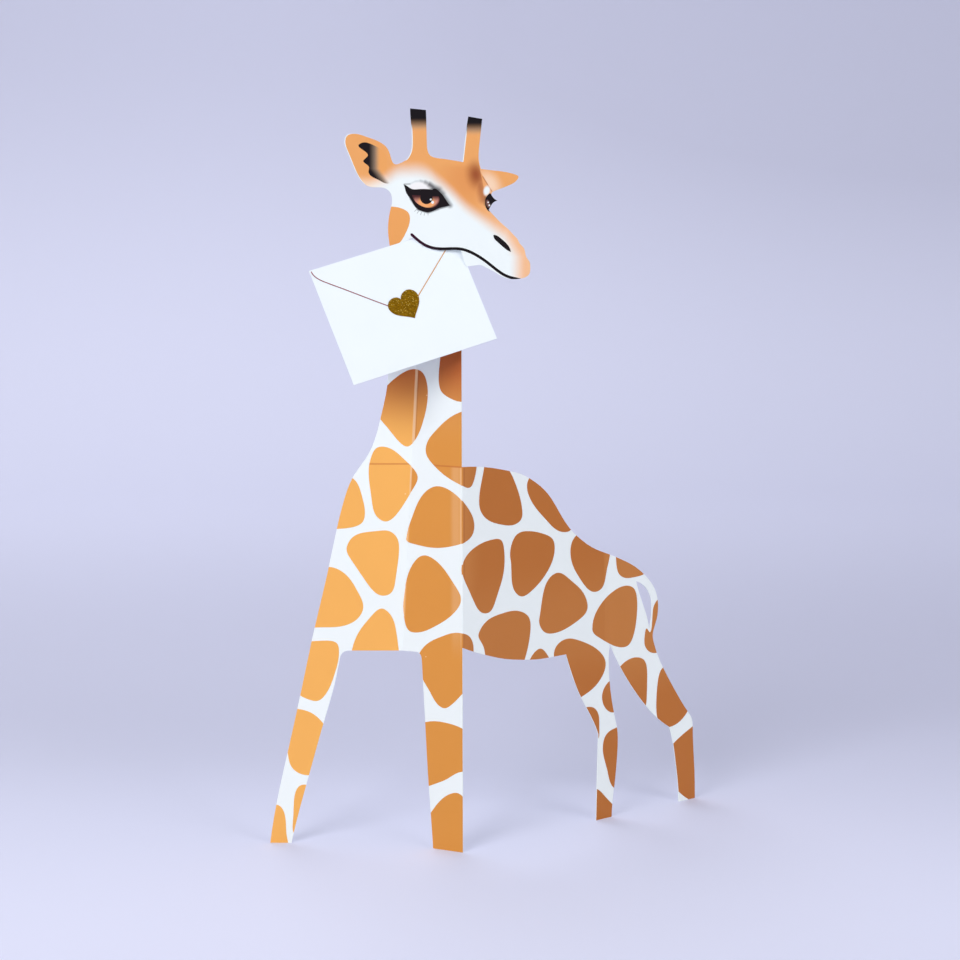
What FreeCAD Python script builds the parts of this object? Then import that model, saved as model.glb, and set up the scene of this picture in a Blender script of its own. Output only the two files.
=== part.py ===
"""Free-standing greeting card: a die-cut giraffe folded from one sheet, with a mini letter.

The blank is drawn flat, in millimetres, as it leaves the die: X runs along the sheet and Z up it.
Three creases turn it into four panels.  The chest panel, with the whole flat head, stays in the XZ
plane and faces -Y.  The others are turned about their creases, each carrying the ones beyond it.
"""
import FreeCAD
import Part
import math
import os

V = FreeCAD.Vector

# Sheets and print
board_thickness = 0.5
letter_thickness = 0.45
print_thickness = 0.1
least_print = 0.05
print_above_ground = 0.1
slit_clearance = 0.12

# Folds, in degrees: the chest crease is a valley seen from the front, the shoulder a mountain
chest_fold = -25.6
shoulder_fold = 65.2
rump_fold = -2.0

# Creases in the flat blank: x where the crease meets the ground, and how far x moves per mm of height
chest_crease_foot = -45.3
chest_crease_slope = 0.0511
shoulder_crease_foot = -4.75
shoulder_crease_slope = -0.0077
rump_crease_foot = 103.1
rump_crease_slope = -0.065

# Height of the card, from the ground to the tip of the near horn
card_height = 380.2

# Heights of the main features, as the blank is drawn
shoulder_height = 200.2
front_belly_height = 102.8
chin_height = 301.1
trim_below_ground = 4.0

# How far the shapes that mask out a panel run past it, and the white margin left by a print that
# sits a little to the right of its cut
mask_overlap = 10.0
print_margin = V(0.45, 0.0, -0.1)

# Mini letter: its size, the place of its lower left corner and the lines of its two edges
letter_length = 77.7
letter_height = 63.1
letter_corner = V(-62.44, -35.83, 244.36)
letter_run = V(0.9134, 0.3027, 0.2722)
letter_rise = V(-0.3654, 0.3152, 0.8759)
flap_line_width = 0.5

# Printed mouth line, with the slit for the letter along its lower edge
mouth_line_width = 1.4

# Where the flank's belly meets the shoulder crease, where the two hind legs part, and a place
# well inside the gap between them
flank_belly_height = 107.1
hind_fork_height = 98.0
hind_gap = (115.0, 50.0)


def crease_x(foot, slope, height):
    return foot + slope * height


def on_shoulder_crease(height):
    return (crease_x(shoulder_crease_foot, shoulder_crease_slope, height), height)


hind_fork = (crease_x(rump_crease_foot, rump_crease_slope, hind_fork_height), hind_fork_height)

# The flat blank, run by run: two points are a straight cut, more are one smooth curve
FRONT_LEG_AND_NECK = [
    [(-110.3, -trim_below_ground), (-106.6, 19.8), (-99.9, 49.9), (-93.2, 79.6), (-85.3, 115.7),
     (-78.0, 146.2), (-69.3, 183.1), (-64.8, 194.0), (-58.2, 203.5), (-55.7, 208.0),
     (-50.7, 224.2), (-47.3, 240.3), (-46.4, 255.0), (-46.2, 280.0), (-46.0, 299.3),
     (-45.6, 311.0), (-46.4, 318.0), (-46.2, 324.1), (-44.6, 331.8)],
]
NEAR_EAR = [
    [(-44.6, 331.8), (-44.4, 335.5), (-45.9, 339.1), (-49.8, 340.8), (-55.2, 341.1),
     (-58.2, 342.6), (-62.1, 347.9), (-66.6, 358.6), (-68.1, 363.9), (-67.3, 366.5),
     (-63.8, 367.7), (-57.3, 366.2), (-49.7, 363.1), (-47.0, 360.9), (-44.7, 355.4),
     (-43.3, 352.7), (-41.3, 352.5)],
]
HORNS = [
    [(-41.3, 352.5), (-39.1, 353.4), (-37.1, 354.7), (-35.4, 357.1), (-34.5, 359.7),
     (-34.2, 363.1), (-34.4, 370.0), (-35.1, 380.2)],
    [(-35.1, 380.2), (-27.1, 379.4)],
    [(-27.1, 379.4), (-26.9, 372.4), (-26.7, 363.0), (-26.3, 359.1), (-25.3, 357.1),
     (-23.2, 355.9), (-19.5, 355.3), (-14.8, 354.6), (-8.8, 353.6)],
    [(-8.8, 353.6), (-8.1, 359.1), (-6.7, 371.1), (-5.9, 376.2)],
    [(-5.9, 376.2), (1.1, 375.0)],
    [(1.1, 375.0), (0.5, 369.7), (-0.4, 361.0), (-0.7, 357.0), (-0.5, 353.7), (0.5, 350.1)],
]
FAR_EAR = [
    [(0.5, 350.1), (5.4, 349.5), (12.1, 348.7), (16.9, 347.6), (19.4, 346.1), (18.5, 344.4),
     (14.8, 342.0), (10.8, 340.4), (6.1, 338.5)],
]
FAR_EYE = [
    [(6.1, 338.5), (5.7, 337.3)],
    [(5.7, 337.3), (7.1, 335.3), (8.8, 334.2)],
    [(8.8, 334.2), (6.8, 333.3), (5.7, 332.0), (4.4, 329.5)],
]
MUZZLE = [
    [(4.4, 329.5), (7.4, 326.3), (11.5, 322.3), (14.8, 319.4), (16.8, 317.2), (18.9, 315.0),
     (20.2, 312.6), (21.8, 310.9), (22.7, 308.9), (23.1, 306.9), (23.8, 305.3), (24.9, 303.8),
     (25.4, 302.0), (25.4, 299.0), (24.8, 297.1), (23.2, 295.8), (20.5, 295.0)],
    [(20.5, 295.0), (17.5, 294.7), (14.2, 295.0), (11.7, 295.8), (7.6, 298.2), (4.7, 299.8),
     (2.4, 301.0), (0.8, 301.7), (-0.5, 301.9)],
    [(-0.5, 301.9), on_shoulder_crease(chin_height)],
]
BACK_AND_TAIL = [
    [on_shoulder_crease(chin_height), on_shoulder_crease(shoulder_height)],
    [on_shoulder_crease(shoulder_height), (2.9, 199.8), (14.0, 198.4), (24.3, 196.3), (32.0, 194.4),
     (39.7, 190.9), (51.7, 182.2), (59.8, 171.8), (67.5, 162.5), (75.0, 156.4), (84.0, 151.0),
     (95.0, 146.8), (106.8, 142.0), (113.4, 138.7), (120.5, 133.7), (125.4, 129.1),
     (129.1, 123.8), (130.8, 118.6), (131.1, 113.4), (130.4, 108.5), (128.8, 104.2),
     (127.5, 99.3), (128.3, 95.2), (130.5, 89.6)],
]
HIND_LEGS = [
    [(130.5, 89.6), (135.3, 80.7), (144.1, 67.3), (154.0, 54.0), (157.7, 48.6), (158.3, 43.3),
     (160.1, 19.7), (160.8, -trim_below_ground)],
    [(160.8, -trim_below_ground), (148.3, -trim_below_ground)],
    [(148.3, -trim_below_ground), (148.4, 8.6), (145.8, 26.7), (143.3, 39.3), (140.8, 46.5)],
    [(140.8, 46.5), (131.2, 53.2), (122.6, 61.3), (112.6, 72.9), (104.1, 84.8), hind_fork],
    [hind_fork, (96.0, 89.5), (96.7, 77.7), (100.0, 60.4), (102.7, 50.4), (103.0, 37.5),
     (100.9, 18.1), (99.7, 9.3), (99.5, -trim_below_ground)],
    [(99.5, -trim_below_ground), (87.9, -trim_below_ground)],
    [(87.9, -trim_below_ground), (88.3, 19.1), (88.8, 39.5), (89.0, 49.3)],
    [(89.0, 49.3), (80.4, 64.7), (75.6, 72.1), (69.8, 83.9), (65.1, 95.7)],
]
BELLY_AND_MIDDLE_LEG = [
    [(65.1, 95.7), (57.8, 95.5), (47.1, 95.3), (33.9, 96.4), (22.1, 98.3), (12.3, 100.9),
     (1.4, 104.4), on_shoulder_crease(flank_belly_height)],
    [on_shoulder_crease(flank_belly_height), on_shoulder_crease(-trim_below_ground)],
    [on_shoulder_crease(-trim_below_ground), (-21.7, -trim_below_ground)],
    [(-21.7, -trim_below_ground), (-23.4, 19.1), (-24.6, 33.1), (-26.7, 66.0), (-28.0, 86.0)],
    [(-28.0, 86.0), (-28.8, 98.0), (-29.7, 101.8), (-32.0, front_belly_height)],
    [(-32.0, front_belly_height), (-68.5, front_belly_height)],
    [(-68.5, front_belly_height), (-71.4, 101.3), (-73.0, 96.5), (-81.3, 64.5), (-88.8, 37.9),
     (-97.3, 6.2), (-99.5, -trim_below_ground)],
    [(-99.5, -trim_below_ground), (-110.3, -trim_below_ground)],
]
BLANK = (FRONT_LEG_AND_NECK + NEAR_EAR + HORNS + FAR_EAR + FAR_EYE + MUZZLE + BACK_AND_TAIL
         + HIND_LEGS + BELLY_AND_MIDDLE_LEG)

# Everything drawn on the blank grows with the card
card_scale = card_height / max(point[1] for run in HORNS for point in run)

TAIL_HOLE = [
    [(115.1, 130.2), (120.0, 127.9), (124.0, 123.8), (126.0, 119.6), (126.6, 115.0),
     (126.2, 108.0), (125.0, 102.9)],
    [(125.0, 102.9), (123.0, 110.3), (120.2, 117.0), (117.2, 124.0), (115.1, 130.2)],
]

MOUTH = [(-34.5, 317.2), (-31.1, 314.2), (-26.6, 311.4), (-21.0, 310.1), (-15.5, 310.1),
         (-9.5, 309.9), (-3.0, 307.5), (3.0, 303.7), (9.0, 299.0), (14.2, 296.0), (17.5, 295.1),
         (21.0, 294.3)]
MOUTH_CORNER = (-35.0, 317.7)
SLIT_POINTS = 6

# Coat spots in the flat blank, each a closed smooth curve; at a cut edge they run past it
NECK_SPOTS = [
    [(-50.0, 331.0), (-44.0, 331.2), (-39.2, 330.2), (-36.0, 327.9), (-35.4, 324.5),
     (-37.5, 318.0), (-40.4, 313.4), (-45.3, 310.6), (-50.0, 310.0)],
    [(-51.0, 236.0), (-47.4, 240.5), (-41.0, 246.0), (-33.1, 249.0), (-29.3, 247.8),
     (-26.2, 242.0), (-25.9, 233.0), (-29.0, 220.5), (-34.0, 211.4), (-37.1, 209.3),
     (-41.0, 211.4), (-47.0, 218.7), (-52.5, 226.5)],
    [(-18.4, 262.0), (-18.9, 253.0), (-19.5, 245.0), (-18.1, 238.4), (-13.5, 235.1),
     (-5.5, 233.7), (-2.0, 246.0), (-4.0, 262.0)],
    [(-2.0, 229.6), (-6.7, 228.3), (-13.4, 224.9), (-21.2, 218.0), (-26.0, 211.6),
     (-26.6, 206.3), (-22.4, 200.5), (-18.8, 197.4), (-11.5, 193.0), (-5.6, 190.4),
     (-3.2, 189.4), (-1.2, 189.5), (1.2, 192.6), (2.5, 196.6), (3.2, 203.0), (2.0, 215.0)],
    [(-56.6, 200.5), (-55.2, 205.2), (-52.7, 208.6), (-49.3, 209.2), (-42.9, 206.4),
     (-36.6, 200.5), (-31.4, 193.8), (-34.8, 186.4), (-42.5, 174.6), (-48.6, 170.5),
     (-52.7, 172.7), (-55.6, 182.1), (-56.9, 193.0)],
]
CHEST_SPOTS = [
    [(-68.0, 194.0), (-64.2, 192.0), (-60.7, 184.2), (-59.1, 175.3), (-60.3, 170.2),
     (-66.5, 167.3), (-73.2, 166.6), (-79.0, 167.0), (-76.0, 186.0)],
    [(-37.9, 161.4), (-37.2, 165.3), (-34.9, 171.8), (-26.6, 186.6), (-20.6, 189.6),
     (-13.0, 187.9), (-6.2, 183.0), (-2.6, 179.0), (1.6, 170.6), (0.6, 165.3),
     (-6.6, 160.8), (-19.4, 157.9), (-33.6, 159.0)],
    [(-68.4, 157.7), (-64.6, 162.9), (-52.8, 165.5), (-46.3, 165.3), (-42.9, 162.3),
     (-41.7, 154.5), (-43.5, 140.6), (-46.6, 132.6), (-50.1, 131.7), (-58.8, 139.1),
     (-66.4, 150.6)],
    [(-82.0, 146.0), (-74.8, 146.2), (-68.7, 142.3), (-62.8, 133.3), (-60.3, 125.4),
     (-62.9, 120.0), (-72.9, 115.4), (-84.8, 115.0), (-90.0, 115.0), (-87.0, 135.0)],
    [(-39.5, 128.3), (-38.1, 138.3), (-34.1, 148.4), (-28.0, 153.4), (-21.2, 151.4),
     (-10.2, 139.5), (-6.4, 132.2), (-10.1, 125.2), (-21.5, 116.9), (-31.4, 113.0),
     (-36.2, 113.6), (-38.9, 119.2)],
    [(-66.8, 99.0), (-66.2, 103.5), (-62.8, 112.3), (-56.2, 120.9), (-50.5, 124.9),
     (-46.9, 122.5), (-43.2, 112.1), (-42.0, 102.8), (-42.4, 96.0), (-54.0, 93.0)],
]
FRONT_LEG_SPOTS = [
    [(-90.0, 108.0), (-78.0, 108.0), (-74.1, 106.6), (-73.0, 102.0), (-75.5, 90.0),
     (-80.3, 79.4), (-84.2, 76.2), (-88.7, 76.8), (-94.0, 79.6), (-97.0, 92.0)],
    [(-98.0, 72.2), (-93.0, 71.6), (-87.7, 69.8), (-82.0, 64.8), (-78.0, 58.0), (-82.0, 38.6),
     (-95.2, 38.0), (-98.6, 41.6), (-100.2, 48.5), (-103.0, 62.0)],
    [(-89.0, 31.0), (-94.9, 30.0), (-97.0, 24.3), (-97.6, 14.4), (-97.0, 5.0), (-90.0, 8.0)],
    [(-109.5, 20.2), (-104.2, 19.6), (-101.9, 14.4), (-101.2, 4.0), (-101.0, -8.0),
     (-113.0, -8.0), (-114.0, 8.0)],
]
MIDDLE_LEG_SPOTS = [
    [(-31.0, 100.6), (-26.1, 107.2), (-17.1, 112.2), (-7.4, 114.8), (-1.2, 112.5),
     (1.2, 108.2), (1.0, 100.0), (-0.5, 90.0), (-6.4, 82.2), (-12.3, 76.4), (-15.4, 74.8),
     (-18.9, 75.9), (-24.0, 82.6), (-29.0, 89.8)],
    [(-30.0, 65.0), (-21.1, 67.4), (-13.1, 67.0), (-5.7, 65.2), (-1.0, 62.0), (-1.5, 44.0),
     (-7.5, 41.8), (-14.0, 37.7), (-24.3, 32.9), (-29.0, 31.0), (-31.5, 48.0)],
    [(-26.0, 15.0), (-22.6, 19.8), (-17.4, 26.3), (-11.5, 30.3), (-7.7, 30.9), (-3.5, 27.6),
     (-1.5, 12.0), (-1.5, -8.0), (-14.0, -10.0), (-26.5, -8.0), (-27.0, 4.0)],
]
FLANK_SPOTS = [
    [(8.4, 202.0), (6.4, 192.0), (4.9, 184.1), (5.7, 177.2), (10.2, 172.2), (20.3, 168.6),
     (29.4, 168.2), (33.3, 170.7), (33.7, 176.2), (30.5, 186.4), (24.5, 197.0), (17.0, 202.5)],
    [(40.0, 193.0), (37.1, 188.0), (40.0, 179.6), (50.5, 168.7), (62.0, 161.4), (67.6, 162.0),
     (66.0, 172.0), (54.0, 187.0)],
    [(-6.2, 148.4), (-4.4, 153.2), (1.1, 157.8), (13.4, 161.4), (19.5, 160.7), (21.8, 154.4),
     (21.1, 142.3), (16.6, 130.7), (11.8, 123.8), (8.1, 123.7), (0.4, 132.8), (-4.9, 142.6)],
    [(26.1, 150.0), (26.8, 157.9), (30.2, 162.6), (38.5, 163.8), (49.1, 161.4), (55.5, 157.5),
     (56.5, 153.0), (50.8, 140.5), (40.2, 131.9), (33.7, 129.9), (29.3, 132.8), (26.8, 141.8)],
    [(73.0, 159.5), (68.2, 154.2), (68.0, 147.2), (75.0, 134.9), (85.9, 127.2), (89.9, 128.4),
     (93.9, 138.4), (95.8, 148.0), (85.0, 157.0)],
    [(46.1, 116.6), (48.2, 127.8), (53.4, 138.0), (58.8, 140.0), (67.3, 135.7), (79.2, 124.0),
     (80.1, 118.8), (72.6, 112.6), (56.4, 108.0), (48.9, 110.0)],
    [(5.0, 113.6), (9.2, 118.7), (20.6, 122.3), (33.3, 122.0), (39.1, 117.9), (39.9, 110.6),
     (36.0, 96.0), (32.0, 90.0), (11.0, 96.0), (7.4, 107.6)],
    [(38.0, 91.0), (40.2, 96.4), (47.1, 100.8), (52.3, 96.4), (55.0, 91.0), (46.0, 88.0)],
    [(57.5, 92.0), (59.0, 101.5), (64.9, 103.9), (75.3, 101.8), (86.6, 96.4), (93.7, 87.7),
     (88.4, 77.6), (76.4, 71.3), (70.0, 70.0), (62.0, 80.0)],
]
RUMP_SPOTS = [
    [(83.8, 107.5), (85.6, 114.6), (91.3, 121.4), (100.7, 127.1), (109.4, 128.3),
     (113.3, 126.5), (115.7, 120.6), (115.7, 111.0), (113.8, 101.5), (109.6, 95.5),
     (104.3, 95.1), (96.8, 97.7), (88.6, 102.2)],
    [(100.0, 148.0), (100.8, 140.0), (102.7, 135.3), (107.0, 132.8), (113.5, 132.6),
     (121.5, 134.4), (116.0, 145.0)],
    [(131.5, 119.0), (128.2, 115.5), (127.0, 106.4), (125.2, 101.2), (123.1, 103.4),
     (121.7, 99.4), (122.2, 93.6), (125.4, 90.3), (131.5, 89.4), (136.0, 104.0)],
]
HIND_LEG_SPOTS = [
    [(101.5, 77.6), (96.6, 77.3), (91.5, 70.6), (92.3, 65.4), (99.8, 59.8), (105.0, 62.0)],
    [(76.0, 64.0), (81.0, 65.2), (85.7, 64.0), (88.8, 60.2), (89.5, 53.0), (89.0, 47.0),
     (80.0, 50.0)],
    [(107.0, 52.0), (101.5, 51.0), (94.6, 48.1), (92.3, 41.1), (95.7, 28.7), (100.4, 18.3),
     (106.0, 16.0), (109.0, 36.0)],
    [(84.0, 20.0), (88.9, 18.9), (94.5, 14.0), (99.8, 9.0), (105.0, 2.0), (104.0, -8.0),
     (84.0, -8.0)],
    [(104.5, 84.7), (110.0, 87.6), (116.0, 88.3), (121.5, 86.1), (123.9, 77.0),
     (123.8, 67.5), (121.4, 58.0), (112.0, 60.0), (104.0, 74.0)],
    [(138.0, 81.5), (134.2, 79.4), (131.7, 72.5), (130.9, 62.8), (131.6, 53.6), (135.0, 48.0),
     (141.2, 46.5), (154.5, 54.0), (158.0, 62.0), (148.0, 76.0)],
    [(162.0, 46.5), (157.0, 44.0), (144.4, 37.0), (141.0, 34.0), (144.0, 14.0),
     (149.5, 8.0), (163.0, 1.0), (166.0, 24.0)],
]

# The print on the head, in the plane of the chest panel
TAN_EAR = [(-42.5, 350.0), (-46.0, 341.5), (-52.0, 337.0), (-62.0, 340.0), (-70.0, 358.0),
           (-70.0, 370.0), (-56.0, 369.0), (-45.0, 362.0), (-42.0, 356.0)]
TAN_FOREHEAD = [(-42.0, 356.0), (-42.0, 350.6), (-29.0, 345.8), (-18.7, 338.6),
                (-12.4, 331.8), (-6.1, 325.2), (0.2, 321.0), (7.0, 317.6), (14.0, 314.2),
                (18.3, 307.4), (18.6, 301.0), (15.6, 297.0), (20.0, 291.0), (29.0, 294.0),
                (29.0, 310.0), (14.0, 324.0), (4.2, 332.0), (2.6, 338.5), (6.0, 339.5),
                (22.0, 341.0), (22.0, 350.0), (4.0, 352.0), (5.0, 378.0), (-9.0, 380.0),
                (-10.0, 360.0), (-22.0, 360.0), (-24.0, 384.0), (-38.0, 384.0), (-38.0, 362.0)]
NEAR_HORN_TIP = [(-38.0, 373.0), (-31.0, 371.4), (-23.0, 373.0), (-24.0, 384.0), (-38.0, 384.0)]
FAR_HORN_TIP = [(-9.0, 371.5), (-3.0, 370.4), (4.0, 371.5), (5.0, 379.0), (-9.0, 380.0)]
EAR_PATCH = [(-60.7, 362.4), (-58.6, 363.3), (-53.2, 361.8), (-48.8, 359.0), (-46.8, 354.0),
             (-46.2, 348.0), (-43.8, 344.4), (-45.9, 342.9), (-51.3, 344.7), (-54.8, 346.5),
             (-56.1, 348.6), (-55.9, 351.1), (-58.7, 354.0), (-56.4, 356.9)]
EYE_UPPER = [(-38.2, 342.3), (-36.5, 341.4), (-34.7, 340.2), (-30.5, 340.0), (-26.7, 340.0),
             (-24.0, 339.7)]
EYE_FRONT = [(-24.0, 339.7), (-22.8, 340.3), (-20.9, 339.2), (-19.0, 337.3), (-17.0, 334.4),
             (-15.2, 331.8)]
EYE_LOWER = [(-15.2, 331.8), (-18.2, 331.1), (-21.1, 330.3), (-24.0, 328.9), (-26.3, 328.4),
             (-28.8, 328.8), (-31.3, 329.9), (-33.1, 331.7), (-35.0, 335.0), (-37.2, 338.3),
             (-37.8, 340.6), (-38.2, 342.3)]
IRIS = [
    [(-34.3, 337.0), (-33.6, 335.3), (-32.1, 333.3), (-29.6, 331.6), (-26.7, 330.7),
     (-24.0, 330.7), (-21.9, 331.6), (-20.8, 333.1), (-20.4, 334.8), (-20.9, 336.4)],
    [(-20.9, 336.4), (-34.3, 337.0)],
]
PUPIL_CENTRE = (-27.0, 335.6)
PUPIL_RADIUS = 3.1
EYE_LIGHTS = [((-24.8, 334.8), 0.5), ((-23.9, 333.4), 0.75)]
FAR_EYE_PRINT = [(2.7, 334.7), (3.5, 336.5), (5.1, 337.7), (6.4, 336.3), (9.4, 334.2),
                 (6.9, 333.0), (6.2, 330.8), (4.6, 328.9), (3.3, 330.2), (2.6, 332.3)]
FAR_EYE_LIGHTS = [((4.1, 333.4), 0.4), ((4.7, 331.9), 0.5)]
NOSTRIL = [
    [(6.8, 317.0), (8.5, 316.7), (10.3, 315.5), (12.2, 313.9), (14.1, 311.9), (15.6, 308.5)],
    [(15.6, 308.5), (13.0, 309.9), (11.2, 311.4), (8.5, 313.8), (7.2, 315.3), (6.8, 317.0)],
]

# The print on the letter, in its own plane, from the notch of the heart: along, then up
heart_notch = (letter_length / 2 - 0.1, letter_height - 28.5)
flap_left_end = (0.9, letter_height - 0.7)
flap_right_end = (letter_length - 1.5, letter_height - 5.8)
FLAP_LEFT = [(-36.8, 24.4), (-33.7, 20.9), (-27.0, 15.3), (-19.1, 8.6), (-5.3, -2.9)]
FLAP_RIGHT = [(5.5, -3.9)]
HEART_LEFT = [(0.0, 0.0), (-2.0, 1.7), (-5.5, 1.3), (-7.7, -1.9), (-6.7, -5.4),
              (-2.4, -8.6), (3.1, -11.5)]
HEART_RIGHT = [(3.1, -11.5), (6.1, -7.4), (8.8, -2.9), (8.7, 1.1), (5.7, 3.7),
               (2.2, 3.1), (0.0, 0.0)]

# Reach of the cutting shapes that only have to clear the card
REACH = 600.0


def flat(point, scale=card_scale):
    return V(point[0] * scale, 0.0, point[1] * scale)


def curve(points, scale=card_scale):
    """A straight cut through two points, or one smooth curve through more."""
    if len(points) == 2:
        return Part.makeLine(flat(points[0], scale), flat(points[1], scale))
    spline = Part.BSplineCurve()
    spline.interpolate([flat(point, scale) for point in points])
    return spline.toShape()


def face_of(runs, scale=card_scale):
    return Part.Face(Part.Wire([curve(run, scale) for run in runs]))


def spot(points):
    """A rounded spot: the closed smooth curve through its points."""
    spline = Part.BSplineCurve()
    spline.interpolate([flat(point) for point in points], PeriodicFlag=True)
    return Part.Face(Part.Wire([spline.toShape()]))


def polygon(points, scale=card_scale):
    return Part.Face(Part.makePolygon([flat(point, scale) for point in points + points[:1]]))


def disc(centre, radius):
    ring = Part.Circle(flat(centre), V(0, -1, 0), radius * card_scale)
    return Part.Face(Part.Wire([ring.toShape()]))


def shifted(points, distance):
    """The points of an open curve, moved to its left by the distance."""
    moved = []
    for index, (x, z) in enumerate(points):
        before = points[max(index - 1, 0)]
        after = points[min(index + 1, len(points) - 1)]
        run = after[0] - before[0]
        rise = after[1] - before[1]
        length = math.hypot(run, rise)
        moved.append((x - rise / length * distance, z + run / length * distance))
    return moved


def stroke(points, width, scale=card_scale, start=()):
    """A printed line of even width along an open curve, its start square or round."""
    upper = shifted(points, width / 2)
    lower = shifted(points, -width / 2)[::-1]
    return face_of([upper, [upper[-1], lower[0]], lower, [lower[-1], *start, upper[0]]], scale)


def between(face, front, back):
    """The slab over a flat face, from one distance in front of the mid-plane to another."""
    slab = face.copy()
    slab.translate(V(0, -front, 0))
    return slab.extrude(V(0, front - back, 0))


def crease_point(foot, slope, height):
    return flat((crease_x(foot, slope, height), height))


CREASES = [
    (chest_crease_foot, chest_crease_slope, chest_fold),
    (shoulder_crease_foot, shoulder_crease_slope, shoulder_fold),
    (rump_crease_foot, rump_crease_slope, rump_fold),
]


def fold(shape, turns):
    """Turn a flat shape about so many creases, counted from the chest, the nearest last."""
    folded = shape.copy()
    for foot, slope, angle in reversed(CREASES[:turns]):
        axis = crease_point(foot, slope, 1.0) - crease_point(foot, slope, 0.0)
        folded.rotate(crease_point(foot, slope, 0.0), axis, angle)
    return folded


def strip(left, right, top):
    """The part of the blank between two creases, below a height."""
    low = -2 * trim_below_ground
    corners = []
    for side, away in ((left, -REACH), (right, REACH)):
        if side is None:
            corners.append([(away, low), (away, top)])
        else:
            foot, slope = side[0], side[1]
            corners.append([(crease_x(foot, slope, low), low), (crease_x(foot, slope, top), top)])
    return polygon([corners[0][0], corners[1][0], corners[1][1], corners[0][1]])


# The flat blank and its panels: the head, which shares the plane of the chest, and one panel on
# each side of every crease; each comes with the number of creases that turn it
blank = face_of(BLANK).cut(face_of(TAIL_HOLE))
slit_edge = shifted(MOUTH, -mouth_line_width / 2)[:SLIT_POINTS]
slit_height = slit_edge[0][1]
neck_edge = on_shoulder_crease(chin_height)
head_area = face_of([
    slit_edge,
    [slit_edge[-1], neck_edge],
    [neck_edge, on_shoulder_crease(chin_height - mask_overlap)],
    [on_shoulder_crease(chin_height - mask_overlap), (REACH, chin_height - mask_overlap)],
    [(REACH, chin_height - mask_overlap), (REACH, REACH)],
    [(REACH, REACH), (-REACH, REACH)],
    [(-REACH, REACH), (-REACH, slit_height)],
    [(-REACH, slit_height), slit_edge[0]],
])
above_back = shoulder_height + mask_overlap
rump_area = polygon([hind_fork, hind_gap, (hind_gap[0], -REACH), (REACH, -REACH),
                     (REACH, above_back),
                     (crease_x(rump_crease_foot, rump_crease_slope, above_back), above_back)])
PANELS = [
    (blank.common(head_area), 0),
    (blank.common(strip(None, CREASES[0], slit_height)).cut(head_area), 0),
    (blank.common(strip(CREASES[0], CREASES[1], slit_height)).cut(head_area), 1),
    (blank.common(strip(CREASES[1], None, above_back)).cut(rump_area), 2),
    (blank.common(rump_area), 3),
]
HEAD, CHEST, NECK_STRIP = 0, 1, 2

# The letter, upright in its own plane and then leaned through the slit
rise = letter_rise - letter_run * letter_rise.dot(letter_run)
rise.normalize()
run = V(letter_run)
run.normalize()
into = rise.cross(run)
lean = FreeCAD.Placement(letter_corner * card_scale, FreeCAD.Rotation(run, into, rise, "XYZ"))


def on_letter(shape):
    placed = shape.copy()
    placed.Placement = lean.multiply(placed.Placement)
    return placed


letter_face = polygon([(0, 0), (letter_length, 0), (letter_length, letter_height),
                       (0, letter_height)], scale=1)
letter = on_letter(between(letter_face, letter_thickness / 2, -letter_thickness / 2))
half_gap = letter_thickness / 2 + slit_clearance
grown = polygon([(-slit_clearance, -slit_clearance),
                 (letter_length + slit_clearance, -slit_clearance),
                 (letter_length + slit_clearance, letter_height + slit_clearance),
                 (-slit_clearance, letter_height + slit_clearance)], scale=1)
letter_room = on_letter(between(grown, half_gap, -half_gap))
letter_path = on_letter(between(grown, REACH, -half_gap))
beyond = polygon([(-REACH, -REACH), (REACH, -REACH), (REACH, REACH), (-REACH, REACH)])
before_letter = on_letter(between(beyond, REACH, -half_gap))
LETTER_CUTS = {CHEST: letter_path, NECK_STRIP: before_letter}

# The board: every panel folded into place, with a round bead along each crease.  The letter comes
# forward through the slit, so the chest and the neck are cut away in front of it
half_board = board_thickness / 2
plates = []
for index, (panel, turns) in enumerate(PANELS):
    plate = fold(between(panel, half_board, -half_board), turns)
    if index in LETTER_CUTS:
        plate = plate.cut(LETTER_CUTS[index])
    plates.append(plate)


def along_crease(turns, area, radius):
    """Rods along the crease before a panel, wherever it runs inside an area of the blank."""
    foot, slope, angle = CREASES[turns]
    line = Part.makeLine(crease_point(foot, slope, -2 * trim_below_ground),
                         crease_point(foot, slope, card_height))
    shared = line.common(PANELS[turns + 1][0]).common(PANELS[turns + 2][0]).common(area)
    rods = []
    for edge in shared.Edges:
        start = edge.Vertexes[0].Point
        end = edge.Vertexes[-1].Point
        rods.append(fold(Part.makeCylinder(radius, (end - start).Length, start, end - start), turns))
    return rods


beads = []
for turns in range(len(CREASES)):
    beads.extend(along_crease(turns, blank, half_board))
card = plates[0].multiFuse(plates[1:] + beads).removeSplitter()
ground = Part.makeBox(2 * REACH, 2 * REACH, REACH, V(-REACH, -REACH, -REACH))
card = card.cut(ground).cut(letter_room)
print_trim = ground.copy()
print_trim.translate(V(0, 0, print_above_ground))


def printed(faces, panel_list=range(len(PANELS))):
    """Fields of colour on the front of the board, cut to each panel and folded with it."""
    fields = []
    for index in panel_list:
        panel, turns = PANELS[index]
        for area in faces:
            inked = area.common(panel)
            if inked.Area < least_print:
                continue
            slab = between(inked, half_board + print_thickness, half_board)
            field = fold(slab, turns).cut(print_trim).cut(letter_room).cut(card)
            if index in LETTER_CUTS:
                field = field.cut(LETTER_CUTS[index])
            fields.extend(field.Solids)
    return fields


def over_shoulder(areas):
    """The print that wraps the outside of the shoulder crease."""
    wraps = []
    for area in areas:
        for rod in along_crease(1, area, half_board + print_thickness):
            shell = rod.cut(card).cut(print_trim)
            wraps.append(max(shell.Solids, key=lambda solid: solid.Volume))
    return wraps


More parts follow.
